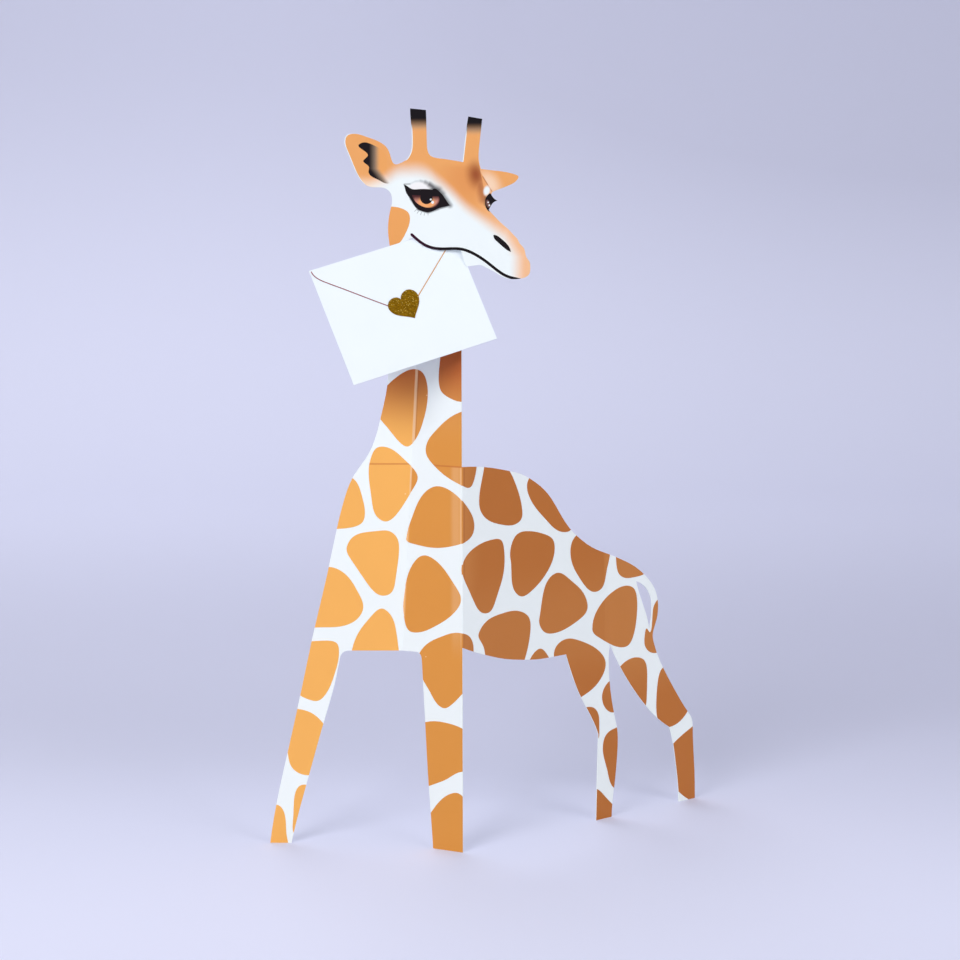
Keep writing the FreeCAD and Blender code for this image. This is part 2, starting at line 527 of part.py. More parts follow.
coat = NECK_SPOTS + CHEST_SPOTS + FRONT_LEG_SPOTS + MIDDLE_LEG_SPOTS
coat += FLANK_SPOTS + RUMP_SPOTS + HIND_LEG_SPOTS
coat_areas = [spot(points) for points in coat]
coat_fields = printed(coat_areas) + over_shoulder(coat_areas)
coat_spots = coat_fields[0].multiFuse(coat_fields[1:])

horn_tips = [polygon(NEAR_HORN_TIP), polygon(FAR_HORN_TIP)]
iris = face_of(IRIS).cut(disc(PUPIL_CENTRE, PUPIL_RADIUS))
eye = face_of([EYE_UPPER, EYE_FRONT, EYE_LOWER]).cut(iris)
for centre, radius in EYE_LIGHTS:
    eye = eye.cut(disc(centre, radius))
    iris = iris.cut(disc(centre, radius))
whole_far_eye = spot(FAR_EYE_PRINT)
far_eye = whole_far_eye
for centre, radius in FAR_EYE_LIGHTS:
    far_eye = far_eye.cut(disc(centre, radius))
mouth = stroke(MOUTH, mouth_line_width, start=[MOUTH_CORNER])
dark = horn_tips + [spot(EAR_PATCH), eye, far_eye, face_of(NOSTRIL), mouth]
inside_margin = blank.copy()
inside_margin.translate(print_margin)
tan = []
for area in (spot(TAN_EAR), polygon(TAN_FOREHEAD)):
    area = area.common(inside_margin)
    for other in dark + [iris, whole_far_eye] + tan:
        area = area.cut(other)
    tan.append(area)

dark_face_print = Part.Compound(printed(dark, [HEAD]))
iris_print = Part.Compound(printed([iris], [HEAD]))
tan_face_print = Part.Compound(printed(tan, [HEAD]))


def from_notch(points):
    return [(heart_notch[0] + x, heart_notch[1] + z) for x, z in points]


# The print on the letter
letter_front = letter_thickness / 2
heart = face_of([from_notch(HEART_LEFT), from_notch(HEART_RIGHT)], scale=1)
left_line = stroke([flap_left_end] + from_notch(FLAP_LEFT), flap_line_width, scale=1)
right_line = stroke(from_notch(FLAP_RIGHT) + [flap_right_end], flap_line_width, scale=1)
flap = left_line.fuse(right_line).cut(heart)
flap_foil_lines = on_letter(between(flap, letter_front + print_thickness, letter_front))
heart_seal = on_letter(between(heart, letter_front + 2 * print_thickness, letter_front))

nodes = {
    "card": card,
    "letter": letter,
    "coat_spots": coat_spots,
    "tan_face_print": tan_face_print,
    "dark_face_print": dark_face_print,
    "iris_print": iris_print,
    "flap_foil_lines": flap_foil_lines,
    "heart_seal": heart_seal,
}

# The origin lies on the ground, under the middle of the whole object
box = Part.Compound(list(nodes.values())).BoundBox
centre = V(-(box.XMin + box.XMax) / 2, -(box.YMin + box.YMax) / 2, 0)
os.makedirs("parts", exist_ok=True)
for name, shape in nodes.items():
    placed = shape.copy()
    placed.translate(centre)
    if len(placed.Solids) == 1:
        placed = placed.Solids[0]
    placed.exportStep(os.path.join("parts", name + ".step"))
    print(name, len(placed.Solids), placed.isValid(), round(placed.Volume, 1), placed.BoundBox)
print("centre", centre)
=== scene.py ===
import math

import bmesh
import bpy
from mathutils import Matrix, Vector


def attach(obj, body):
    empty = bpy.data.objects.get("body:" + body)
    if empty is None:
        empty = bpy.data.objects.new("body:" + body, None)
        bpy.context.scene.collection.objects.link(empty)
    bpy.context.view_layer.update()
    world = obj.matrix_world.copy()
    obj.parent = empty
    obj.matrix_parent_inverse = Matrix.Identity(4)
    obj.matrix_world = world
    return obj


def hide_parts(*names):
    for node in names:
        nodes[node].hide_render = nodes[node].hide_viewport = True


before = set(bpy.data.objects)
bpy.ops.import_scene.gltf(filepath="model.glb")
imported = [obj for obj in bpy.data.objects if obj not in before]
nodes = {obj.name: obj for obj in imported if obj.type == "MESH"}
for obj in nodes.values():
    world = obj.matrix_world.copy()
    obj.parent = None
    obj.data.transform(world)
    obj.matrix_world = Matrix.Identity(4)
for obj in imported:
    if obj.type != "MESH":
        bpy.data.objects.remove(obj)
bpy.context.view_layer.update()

# The camera: a long lens, a little above the card and looking slightly down
CAMERA_PLACE = (-0.00511, -1.24345, 0.365)
CAMERA_TILT_DOWN = 8.087
LENS_MM = 90.0
SENSOR_MM = 36.0

# The drawing's own axes, in millimetres: X runs along the chest panel from this place, Z up it
DRAWING_X = 5.11
MM = 1000.0

# Where the creases, the neck and the head lie in the drawing
CHEST_CREASE_FOOT = -45.3
CHEST_CREASE_SLOPE = 0.0511
SHOULDER_CREASE_X = -8.9
RUMP_CREASE_X = 66.5
NECK_SCORE_Z = 200.3
HEAD_FOOT_Z = 305.0
CHIN_Z = 289.0
HORN_TIPS_Z = 366.0

# Places on the face, as (X, Z)
FOREHEAD = (-6.0, 344.5)
BROW = (-2.0, 347.2)
BROW_RIDGE = ((-0.7, 345.0), (1.7, 335.0))
FAR_EAR_HOLLOW = (4.7, 342.6)
FAR_EAR_FOLD = ((1.4, 346.2), (5.9, 339.0))
ABOVE_FAR_EYE = (3.4, 339.2)
FAR_IRIS = (4.0, 332.7)
NEAR_LID = (-29.6, 340.6)
IRIS_WARMTH = (-27.0, 333.2)
IRIS_RING = (-27.0, 335.2)


def colour(text):
    """A colour written as it looks, in sRGB bytes."""
    channels = [int(text[i:i + 2], 16) / 255 for i in (0, 2, 4)]
    linear = [c / 12.92 if c <= 0.04045 else ((c + 0.055) / 1.055) ** 2.4 for c in channels]
    return (*linear, 1.0)


WHITE = colour("ECF3F2")
TAN = colour("E9A35F")
TAN_DEEP = colour("E19553")
PEACH = colour("F2BB8C")
CREAM = colour("F4D6B9")
BROWN = colour("96481E")
INK = colour("120E10")
GREY = colour("A68E77")
LID = colour("F1F0EE")
# Coat print per panel, partly painted shade: darker on the panels turned away from the key light
COAT_CHEST = colour("F8B45B")
COAT_MIDDLE = colour("E0953F")
COAT_FLANK = colour("BD702C")
COAT_RUMP = colour("C67D3B")
COAT_NECK = colour("EBA25A")
# Painted shadow of the letter on the neck
COAT_LETTER_SHADOW = colour("A63A02")
SCORE = colour("C05A26")
SPECK = colour("FFE2B4")
# Painted highlight along the creases
CREASE_LIGHT = colour("F6CFA4")
AMBER = colour("EE9C55")
AMBER_PINK = colour("C98878")
AMBER_DARK = colour("4A2526")


class Graph:
    """Short names for the nodes that the materials and the room are drawn with."""

    def __init__(self, owner):
        owner.use_nodes = True
        self.owner = owner
        self.tree = owner.node_tree
        self.shader = self.tree.nodes.get("Principled BSDF")

    def node(self, kind, **settings):
        made = self.tree.nodes.new(kind)
        for key, value in settings.items():
            setattr(made, key, value)
        return made

    def put(self, socket, value):
        if isinstance(value, bpy.types.NodeSocket):
            self.tree.links.new(value, socket)
        else:
            socket.default_value = value

    def math(self, operation, *values, clamp=False):
        made = self.node("ShaderNodeMath", operation=operation, use_clamp=clamp)
        for socket, value in zip(made.inputs, values):
            self.put(socket, value)
        return made.outputs[0]

    def step(self, value, low, high):
        """A soft step, from 0 at low to 1 at high."""
        made = self.node("ShaderNodeMapRange", interpolation_type="SMOOTHSTEP")
        for name, number in (("Value", value), ("From Min", low), ("From Max", high)):
            self.put(made.inputs[name], number)
        return made.outputs["Result"]

    def mix(self, factor, first, second):
        made = self.node("ShaderNodeMix", data_type="RGBA")
        self.put(made.inputs[0], factor)
        self.put(made.inputs[6], first)
        self.put(made.inputs[7], second)
        return made.outputs[2]

    def place(self):
        """The drawing's X and Z, in millimetres."""
        coords = self.node("ShaderNodeTexCoord")
        split = self.node("ShaderNodeSeparateXYZ")
        self.put(split.inputs[0], coords.outputs["Object"])
        x = self.math("MULTIPLY_ADD", split.outputs[0], MM, DRAWING_X)
        z = self.math("MULTIPLY", split.outputs[2], MM)
        return x, z

    def noise(self, scale, detail=3.0):
        coords = self.node("ShaderNodeTexCoord")
        made = self.node("ShaderNodeTexNoise")
        made.inputs["Scale"].default_value = scale
        made.inputs["Detail"].default_value = detail
        self.put(made.inputs["Vector"], coords.outputs["Object"])
        return made.outputs["Fac"]

    def cells(self, scale):
        """Cells by their distance from their middles, and their chance colours."""
        coords = self.node("ShaderNodeTexCoord")
        made = self.node("ShaderNodeTexVoronoi")
        made.inputs["Scale"].default_value = scale
        self.put(made.inputs["Vector"], coords.outputs["Object"])
        split = self.node("ShaderNodeSeparateColor")
        self.put(split.inputs[0], made.outputs["Color"])
        return made.outputs["Distance"], split.outputs

    def seen_directly(self):
        """1 for what the camera, gloss and glass see, and 0 for light that bounces."""
        rays = self.node("ShaderNodeLightPath")
        seen = self.math("MAXIMUM", rays.outputs["Is Camera Ray"], rays.outputs["Is Glossy Ray"])
        return self.math("MAXIMUM", seen, rays.outputs["Is Transmission Ray"])

    def bump(self, height, strength, distance):
        made = self.node("ShaderNodeBump")
        made.inputs["Strength"].default_value = strength
        made.inputs["Distance"].default_value = distance
        self.put(made.inputs["Height"], height)
        self.put(self.shader.inputs["Normal"], made.outputs[0])

    def segment(self, x, z, start, end, inner, outer):
        """1 within inner millimetres of a line from start to end, fading to 0 at outer."""
        run, rise = end[0] - start[0], end[1] - start[1]
        square = run * run + rise * rise
        dx = self.math("SUBTRACT", x, start[0])
        dz = self.math("SUBTRACT", z, start[1])
        along = self.math("ADD", self.math("MULTIPLY", dx, run / square),
                          self.math("MULTIPLY", dz, rise / square), clamp=True)
        off_x = self.math("SUBTRACT", dx, self.math("MULTIPLY", along, run))
        off_z = self.math("SUBTRACT", dz, self.math("MULTIPLY", along, rise))
        away = self.math("SQRT", self.math("ADD", self.math("MULTIPLY", off_x, off_x),
                                           self.math("MULTIPLY", off_z, off_z)))
        return self.step(away, outer, inner)

    def oval(self, x, z, centre, half_width, half_height, soft, turn=0.0):
        """1 inside a turned oval, fading over the soft share of its size."""
        dx = self.math("SUBTRACT", x, centre[0])
        dz = self.math("SUBTRACT", z, centre[1])
        c, s = math.cos(math.radians(turn)), math.sin(math.radians(turn))
        u = self.math("ADD", self.math("MULTIPLY", dx, c / half_width),
                      self.math("MULTIPLY", dz, s / half_width))
        v = self.math("ADD", self.math("MULTIPLY", dx, -s / half_height),
                      self.math("MULTIPLY", dz, c / half_height))
        away = self.math("SQRT", self.math("ADD", self.math("MULTIPLY", u, u),
                                           self.math("MULTIPLY", v, v)))
        return self.step(away, 1.0 + soft, 1.0 - soft)


# Lower edge of the airbrushed tan on the head, as (X, Z) in the drawing
TAN_EDGE = [(-72, 328), (-62, 334), (-55, 340), (-49, 343.8), (-45, 346.6), (-41.3, 348.9),
            (-35.5, 349.5), (-30.5, 349.4), (-25.9, 347.8), (-22, 344.7), (-17.2, 340.9),
            (-13, 337), (-9.2, 333), (-6.2, 330.3), (-1.5, 326.8), (1.8, 324.4), (5.4, 321.8),
            (9.3, 318.8), (14, 316), (30, 315)]
# The box that the edge is drawn in
EDGE_X = (-75.0, 30.0)
EDGE_Z = (285.0, 360.0)


def edge_height(graph, x):
    """Height of the tan's lower edge at each X."""
    made = graph.node("ShaderNodeFloatCurve")
    curve = made.mapping.curves[0]
    points = [((px - EDGE_X[0]) / (EDGE_X[1] - EDGE_X[0]),
               (pz - EDGE_Z[0]) / (EDGE_Z[1] - EDGE_Z[0])) for px, pz in TAN_EDGE]
    curve.points[0].location = points[0]
    curve.points[1].location = points[-1]
    for point in points[1:-1]:
        curve.points.new(*point)
    made.mapping.update()
    share = graph.math("DIVIDE", graph.math("SUBTRACT", x, EDGE_X[0]), EDGE_X[1] - EDGE_X[0])
    graph.put(made.inputs["Value"], share)
    return graph.math("MULTIPLY_ADD", made.outputs[0], EDGE_Z[1] - EDGE_Z[0], EDGE_Z[0])


# Airbrushed shade round the eyes: start, end, outer reach, strength
EYE_SHADE = [
    ((-38.2, 342.4), (-35.3, 342.6), 0.7, 0.5),
    ((-35.3, 342.6), (-32.6, 343.9), 0.8, 0.16),
    ((-32.6, 343.9), (-30.0, 344.1), 0.9, 0.2),
    ((-30.0, 344.1), (-27.6, 343.5), 1.2, 0.36),
    ((-27.6, 343.5), (-25.4, 342.3), 1.7, 0.6),
    ((-25.4, 342.3), (-23.4, 340.9), 2.3, 0.85),
    ((-23.6, 340.4), (-20.9, 339.4), 3.1, 0.88),
    ((-20.9, 339.4), (-19.0, 337.4), 2.8, 0.78),
    ((-19.0, 337.4), (-15.2, 331.9), 2.3, 0.72),
    ((-15.2, 331.8), (-21.0, 330.2), 1.0, 0.7),
    ((-21.0, 330.2), (-26.3, 328.4), 1.2, 0.8),
    ((-26.3, 328.4), (-31.3, 329.9), 1.1, 0.8),
    ((-31.3, 329.9), (-35.0, 335.0), 0.9, 0.7),
    ((-35.0, 335.0), (-38.2, 342.3), 0.7, 0.6),
    ((-31.6, 330.2), (-33.0, 328.9), 0.32, 0.5),
    ((-30.6, 329.4), (-31.7, 327.9), 0.32, 0.5),
    ((-29.3, 328.9), (-30.0, 327.2), 0.32, 0.5),
    ((-27.8, 328.5), (-28.2, 326.9), 0.32, 0.45),
    ((-26.2, 328.4), (-26.2, 327.0), 0.32, 0.4),
    ((3.0, 335.8), (2.8, 332.4), 1.4, 0.55),
    ((2.8, 332.4), (4.8, 329.4), 1.1, 0.55),
    ((5.0, 337.5), (9.2, 334.3), 0.9, 0.95),
]
FAR_EYE_LIGHTS = [((4.1, 333.4), 0.55), ((4.7, 331.9), 0.65)]


def all_of(graph, *shares):
    """The product of several shares."""
    product = shares[0]
    for share in shares[1:]:
        product = graph.math("MULTIPLY", product, share)
    return product


def band(graph, value, centre, half, soft=0.3):
    """1 within half a width of the centre, fading to 0 over the soft distance."""
    away = graph.math("ABSOLUTE", graph.math("SUBTRACT", value, centre))
    return graph.step(away, half + soft, half)


def tan_share(graph, x, z):
    """How much of the tan shows at a place on the head, from 0 to 1."""
    above = graph.math("SUBTRACT", z, edge_height(graph, x))
    soft = graph.math("MULTIPLY_ADD", graph.step(x, -26.0, -14.0), -0.6, 5.8)
    over = graph.step(graph.math("DIVIDE", above, soft), -1.0, 1.0)
    rim = graph.math("MULTIPLY_ADD", graph.math("MAXIMUM", graph.math("SUBTRACT", z, 306.0), 0.0),
                     0.6, -18.9)
    muzzle = all_of(graph, graph.step(graph.math("ADD", x, rim), -4.6, 4.6),
                    graph.step(x, 6.0, 11.0))
    return graph.math("MAXIMUM", over, muzzle)


def head_colour(graph, x, z, margins=False):
    """The airbrushed colours of the head; with margins, the full tan is left to the print."""
    tan = graph.mix(graph.oval(x, z, FOREHEAD, 11.0, 10.0, 0.8, turn=-30), TAN, TAN_DEEP)
    tan = graph.mix(graph.step(x, -4.0, 15.0), tan, PEACH)
    tan = graph.mix(graph.step(z, 350.0, 354.0), tan, TAN)
    ear_root = all_of(graph, graph.step(x, -43.0, -51.0), graph.step(z, 348.0, 341.0))
    tan = graph.mix(ear_root, tan, CREAM)

    # The far ear, paler inside, and its lobe with a fine line
    ear_line = graph.math("MULTIPLY_ADD", z, -0.62, 216.1)
    from_line = graph.math("SUBTRACT", x, ear_line)
    far_ear = all_of(graph, graph.step(from_line, 0.0, 0.5), graph.step(z, 337.4, 338.4))
    pale = graph.oval(x, z, FAR_EAR_HOLLOW, 6.2, 4.2, 0.8, turn=-52)
    ear_tone = graph.mix(graph.math("MULTIPLY", pale, 0.85), TAN, CREAM)
    tan = graph.mix(far_ear, tan, ear_tone)
    fold = graph.segment(x, z, *FAR_EAR_FOLD, 0.0, 0.45)
    tan = graph.mix(graph.math("MULTIPLY", fold, 0.5), tan, BROWN)

    # The brown shade below the far horn and down the brow
    brow = graph.oval(x, z, BROW, 3.5, 5.2, 0.95, turn=8)
    lower_brow = graph.segment(x, z, *BROW_RIDGE, 0.0, 3.8)
    on_brow = graph.step(graph.math("ADD", x, graph.math("MULTIPLY_ADD", z, 0.2, -69.6)), 0.7, 0.1)
    shade = graph.math("MAXIMUM", graph.math("MULTIPLY", brow, 0.95),
                       graph.math("MULTIPLY", lower_brow, 0.62))
    tan = graph.mix(all_of(graph, shade, on_brow), tan, BROWN)
    share = tan_share(graph, x, z)
    if margins:
        full = all_of(graph, graph.step(share, 0.97, 0.995), graph.step(x, 0.5, -0.5))
        share = graph.math("SUBTRACT", share, full, clamp=True)
    face = graph.mix(share, WHITE, tan)

    # White above the far eye and in its lights, and the pale lid of the near eye
    face = graph.mix(graph.oval(x, z, ABOVE_FAR_EYE, 1.5, 2.3, 0.45, turn=-12), face, WHITE)
    face = graph.mix(graph.oval(x, z, NEAR_LID, 6.2, 3.0, 0.25), face, LID)
    dark = 0.0
    for start, end, outer, strength in EYE_SHADE:
        reach = graph.math("MULTIPLY", graph.segment(x, z, start, end, 0.0, outer), strength)
        dark = graph.math("MAXIMUM", dark, reach)
    face = graph.mix(dark, face, INK)
    for centre, radius in FAR_EYE_LIGHTS:
        face = graph.mix(graph.oval(x, z, centre, radius, radius, 0.2), face, LID)

    # Horn tips, grey where they fade
    near_horn = graph.step(x, -15.0, -17.0)
    height = graph.math("MULTIPLY_ADD", near_horn, -2.2, z)
    grey = graph.math("MULTIPLY", graph.step(height, HORN_TIPS_Z, HORN_TIPS_Z + 4.4), 0.6)
    face = graph.mix(grey, face, GREY)
    return graph.mix(graph.step(height, HORN_TIPS_Z + 1.2, HORN_TIPS_Z + 7.4), face, INK)


def board_finish(graph, roughness, specular):
    """Coated board: a faint mottle in the gloss and the finest tooth in the surface."""
    mottle = graph.noise(60.0, 2.0)
    graph.put(graph.shader.inputs["Roughness"],
              graph.math("MULTIPLY_ADD", mottle, 0.10, roughness - 0.05))
    graph.shader.inputs["Specular IOR Level"].default_value = specular
    graph.bump(graph.noise(900.0, 3.0), 0.05, 0.0002)


def board_material():
    graph = Graph(bpy.data.materials.new("coated_board"))
    x, z = graph.place()
    head = head_colour(graph, x, z, margins=True)
    on_head = graph.step(z, CHIN_Z, CHIN_Z + 1.0)
    normal = graph.node("ShaderNodeNewGeometry")
    split = graph.node("ShaderNodeSeparateXYZ")
    graph.put(split.inputs[0], normal.outputs["Normal"])
    front = graph.step(split.outputs[1], -0.4, -0.6)
    tint = graph.noise(25.0, 3.0)
    plain = graph.mix(tint, colour("F3F9F7"), colour("EFF5F4"))
    base = graph.mix(graph.math("MULTIPLY", on_head, front), plain, head)
    graph.put(graph.shader.inputs["Base Color"], base)
    board_finish(graph, 0.42, 0.4)
    return graph.owner


def coat_material():
    graph = Graph(bpy.data.materials.new("coat_ink"))
    x, z = graph.place()
    crease = graph.math("MULTIPLY_ADD", z, CHEST_CREASE_SLOPE, CHEST_CREASE_FOOT)
    from_chest = graph.math("SUBTRACT", x, crease)
    from_shoulder = graph.math("SUBTRACT", x, SHOULDER_CREASE_X)
    below_head = graph.step(z, HEAD_FOOT_Z + 1.0, HEAD_FOOT_Z)

    # Each panel has its own tone, partly the print's own and partly painted shade: darker on the
    # panels turned away from the key light
    middle = all_of(graph, graph.step(from_chest, -0.15, 0.15), below_head,
                    graph.math("SUBTRACT", 1.0, graph.step(z, 208.0, 240.0)))
    flank = all_of(graph, graph.step(from_shoulder, -0.3, 0.3), below_head)
    low_flank = all_of(graph, graph.step(z, 150.0, 116.0), graph.step(z, 76.0, 100.0))
    rump = all_of(graph, graph.step(x, RUMP_CREASE_X - 1.0, RUMP_CREASE_X + 1.0),
                  graph.step(z, 60.0, 90.0))
    tone = graph.mix(middle, COAT_CHEST, COAT_MIDDLE)
    tone = graph.mix(graph.step(z, 295.0, HEAD_FOOT_Z + 1.0), tone, COAT_NECK)
    # Painted sheen: paler patches low on the flank and beside the shoulder crease; the rump panel
    # takes its own tone
    flank_sheen_and_rump = graph.math("MAXIMUM", graph.math("MULTIPLY", low_flank, 0.7), rump)
    flank_sheen_and_rump = graph.math("MAXIMUM", flank_sheen_and_rump, graph.step(from_shoulder, 11.0, 0.0))
    tone = graph.mix(flank, tone, graph.mix(flank_sheen_and_rump, COAT_FLANK, COAT_RUMP))
    mottle = graph.noise(45.0, 4.0)
    tone = graph.mix(graph.math("MULTIPLY", mottle, 0.06), tone, BROWN)

    # Painted shadow of the letter: the coat ink darkens up the neck under it
    letter_shadow = all_of(graph, graph.step(z, 208.0, 256.0), graph.step(z, 296.0, 290.0))
    tone = graph.mix(graph.math("MULTIPLY", letter_shadow, 0.86), tone, COAT_LETTER_SHADOW)

    # A few pale specks
    away, chance = graph.cells(95.0)
    speck = all_of(graph, graph.step(away, 0.045, 0.02), graph.step(chance[0], 0.84, 0.86))
    tone = graph.mix(graph.math("MULTIPLY", speck, 0.7), tone, SPECK)

    # Painted highlights: pale bands where the board is folded, on the rounded creases that catch
    # the light; and the score across the neck
    neck = graph.step(z, 204.0, 206.0)
    below_neck = graph.step(z, 200.4, 199.6)
    chest_crease_highlight = all_of(graph, band(graph, from_chest, 0.4, 0.45, 0.45), neck)
    low_crease_highlight = all_of(graph, band(graph, from_chest, 0.0, 0.3), graph.step(z, 201.0, 200.0),
                      graph.math("MULTIPLY_ADD", graph.step(z, 176.0, 190.0), 0.5, 0.5))
    on_shoulder = all_of(graph, below_neck, graph.step(z, 98.0, 124.0))
    shoulder_crease_highlight = all_of(graph, band(graph, from_shoulder, -0.9, 0.25), on_shoulder)
    pale = graph.math("MAXIMUM", graph.math("MULTIPLY", chest_crease_highlight, 0.72),
                      graph.math("MULTIPLY", low_crease_highlight, 0.6))
    pale = graph.math("MAXIMUM", pale, graph.math("MULTIPLY", shoulder_crease_highlight, 0.5))
    rounded_crease_highlight = all_of(graph, band(graph, from_shoulder, -3.4, 0.8, 2.6), on_shoulder)
    pale = graph.math("MAXIMUM", pale, graph.math("MULTIPLY", rounded_crease_highlight, 0.22))
    tone = graph.mix(pale, tone, CREASE_LIGHT)
    score = all_of(graph, band(graph, z, NECK_SCORE_Z, 0.2, 0.4),
                   graph.step(from_shoulder, 0.2, -0.2))
    tone = graph.mix(graph.math("MULTIPLY", score, 0.5), tone, SCORE)
    # Painted shade: thin brown lines beside the chest and shoulder creases
    chest_crease_shade = all_of(graph, band(graph, from_chest, 1.5, 0.1, 0.25), neck)
    fine = all_of(graph, band(graph, from_shoulder, 1.0, 0.05, 0.3), on_shoulder)
    crease_shade_lines = graph.math("MULTIPLY", graph.math("MAXIMUM", chest_crease_shade, fine), 0.3)
    tone = graph.mix(crease_shade_lines, tone, BROWN)
    graph.put(graph.shader.inputs["Base Color"], tone)
    board_finish(graph, 0.36, 0.3)
    return graph.owner


def tan_material():
    graph = Graph(bpy.data.materials.new("tan_ink"))
    x, z = graph.place()
    graph.put(graph.shader.inputs["Base Color"], head_colour(graph, x, z))
    board_finish(graph, 0.40, 0.3)
    return graph.owner


def dark_material():
    graph = Graph(bpy.data.materials.new("dark_ink"))
    x, z = graph.place()
    head = head_colour(graph, x, z)
    dip = graph.math("MAXIMUM", graph.math("SUBTRACT", 350.2, z), 0.0)
    fade_middle = graph.math("MULTIPLY_ADD", dip, 0.72, -53.1)
    from_middle = graph.math("SUBTRACT", x, fade_middle)
    ear_fade = graph.step(from_middle, -3.0, 2.6)
    in_ear = graph.step(x, -41.0, -42.0)
    in_horns = graph.step(z, HORN_TIPS_Z, HORN_TIPS_Z + 1.0)
    not_ink = graph.math("MAXIMUM", graph.math("MULTIPLY", ear_fade, in_ear), in_horns)
    ink = graph.mix(graph.noise(80.0, 2.0), INK, colour("1A1114"))
    mouth = all_of(graph, graph.step(z, 320.0, 318.0), graph.step(x, -17.0, -34.0))
    ink = graph.mix(mouth, ink, colour("340B24"))
    far_iris = graph.oval(x, z, FAR_IRIS, 0.9, 1.9, 0.35, turn=12)
    ink = graph.mix(far_iris, ink, colour("74504A"))
    faded = graph.mix(graph.step(from_middle, -0.5, 3.2), GREY, head)
    worn = graph.mix(in_horns, faded, head)
    graph.put(graph.shader.inputs["Base Color"], graph.mix(not_ink, ink, worn))
    board_finish(graph, 0.38, 0.12)
    return graph.owner


def iris_material():
    graph = Graph(bpy.data.materials.new("iris_ink"))
    x, z = graph.place()
    rays = graph.noise(420.0, 2.0)
    warm = graph.mix(rays, AMBER, colour("F4B27A"))
    side = graph.oval(x, z, IRIS_WARMTH, 4.2, 4.4, 0.3)
    body = graph.mix(side, AMBER_PINK, warm)
    top = graph.step(z, 333.6, 336.6)
    body = graph.mix(top, body, AMBER_DARK)
    ring = graph.oval(x, z, IRIS_RING, 6.2, 4.5, 0.12)
    graph.put(graph.shader.inputs["Base Color"], graph.mix(ring, AMBER_DARK, body))
    board_finish(graph, 0.38, 0.15)
    return graph.owner


def letter_material():
    graph = Graph(bpy.data.materials.new("letter_card"))
    tint = graph.noise(30.0, 3.0)
    base = graph.mix(tint, colour("EEF5F9"), colour("E9F1F6"))
    graph.put(graph.shader.inputs["Base Color"], base)
    board_finish(graph, 0.48, 0.4)
    return graph.owner


def foil_material():
    graph = Graph(bpy.data.materials.new("flap_line_ink"))
    x, z = graph.place()
    side = graph.step(x, -42.0, -32.0)
    base = graph.mix(side, colour("7E1440"), colour("D6A062"))
    # Painted glints: fine pale flecks along the foil lines
    foil_glints = graph.math("MULTIPLY", graph.noise(1500.0, 2.0), 0.35)
    graph.put(graph.shader.inputs["Base Color"], graph.mix(foil_glints, base, colour("B98C78")))
    graph.shader.inputs["Metallic"].default_value = 0.15
    board_finish(graph, 0.40, 0.3)
    return graph.owner


def glitter_material():
    graph = Graph(bpy.data.materials.new("gold_glitter"))
    flakes = graph.cells(2400.0)[1]
    deep = graph.mix(flakes[0], colour("6B4A00"), colour("9C7205"))
    # Painted glints: a few flakes coloured pale gold, as if catching the light
    bright = graph.step(flakes[1], 0.90, 0.97)
    graph.put(graph.shader.inputs["Base Color"], graph.mix(bright, deep, colour("C9AC4A")))
    graph.shader.inputs["Metallic"].default_value = 0.7
    graph.shader.inputs["Specular IOR Level"].default_value = 0.15
    graph.put(graph.shader.inputs["Roughness"],
              graph.math("MULTIPLY_ADD", flakes[2], 0.35, 0.30))
    graph.bump(flakes[1], 0.8, 0.0002)
    return graph.owner


MATERIALS = {
    "card": board_material(),
    "letter": letter_material(),
    "coat_spots": coat_material(),
    "tan_face_print": tan_material(),
    "dark_face_print": dark_material(),
    "iris_print": iris_material(),
    "flap_foil_lines": foil_material(),
    "heart_seal": glitter_material(),
}
for name, material in MATERIALS.items():
    node = nodes[name]
    for index in range(len(node.material_slots)):
        node.material_slots[index].material = material
    if not node.material_slots:
        node.data.materials.append(material)

# The inner edge of the middle leg bulges in the CAD model: here it runs straight between two
# heights, as (Z, X) on the back of the board. The front of the board lies a little further left.
TRIM_LOW = (0.08606, -0.03427)
TRIM_HIGH = (0.09918, -0.03493)
TRIM_LEFT = -0.0366
FRONT_SHIFT = -0.00021

# The middle panel's run, as Y per X, and what parts its front from its back in Y less that run
PANEL_RUN = -0.478
PANEL_FRONT = -0.04745


def trimmed(name, new_name):
    """A copy of a layer of the card with the leg's edge made straight, in the node's place."""
    piece = bpy.data.objects.new(new_name, nodes[name].data.copy())
    bpy.context.collection.objects.link(piece)
    layer = bmesh.new()
    layer.from_mesh(piece.data)
    for vert in layer.verts:
        x, y, z = vert.co
        if not (TRIM_LOW[0] < z < TRIM_HIGH[0] and TRIM_LEFT < x < TRIM_LOW[1]):
            continue
        share = (z - TRIM_LOW[0]) / (TRIM_HIGH[0] - TRIM_LOW[0])
        edge = TRIM_LOW[1] + share * (TRIM_HIGH[1] - TRIM_LOW[1])
        if y - PANEL_RUN * x < PANEL_FRONT:
            edge += FRONT_SHIFT
        if x < edge:
            vert.co.x = edge
            vert.co.y = y + PANEL_RUN * (edge - x)
    layer.to_mesh(piece.data)
    layer.free()
    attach(piece, "root")
    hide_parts(name)


trimmed("card", "card_board")
trimmed("coat_spots", "coat_print")

# The stage: a pale sweep, floor and backdrop in one
STAGE_NEAR = -9.0
STAGE_DEPTH = 2.2
STAGE_HEIGHT = 3.0
STAGE_RADIUS = 1.0
STAGE_STEPS = 24
STAGE_HALF_WIDTH = 9.0

# How strongly the backdrop glows with painted light: everywhere, at its foot, in front of the card
# and far in front, and how much less at the right and at the top
GLOW_PLAIN = 0.05
GLOW_FOOT = 0.12
GLOW_FRONT = 0.21
GLOW_FAR = 0.42
GLOW_RIGHT = 0.05
GLOW_TOP = 0.10


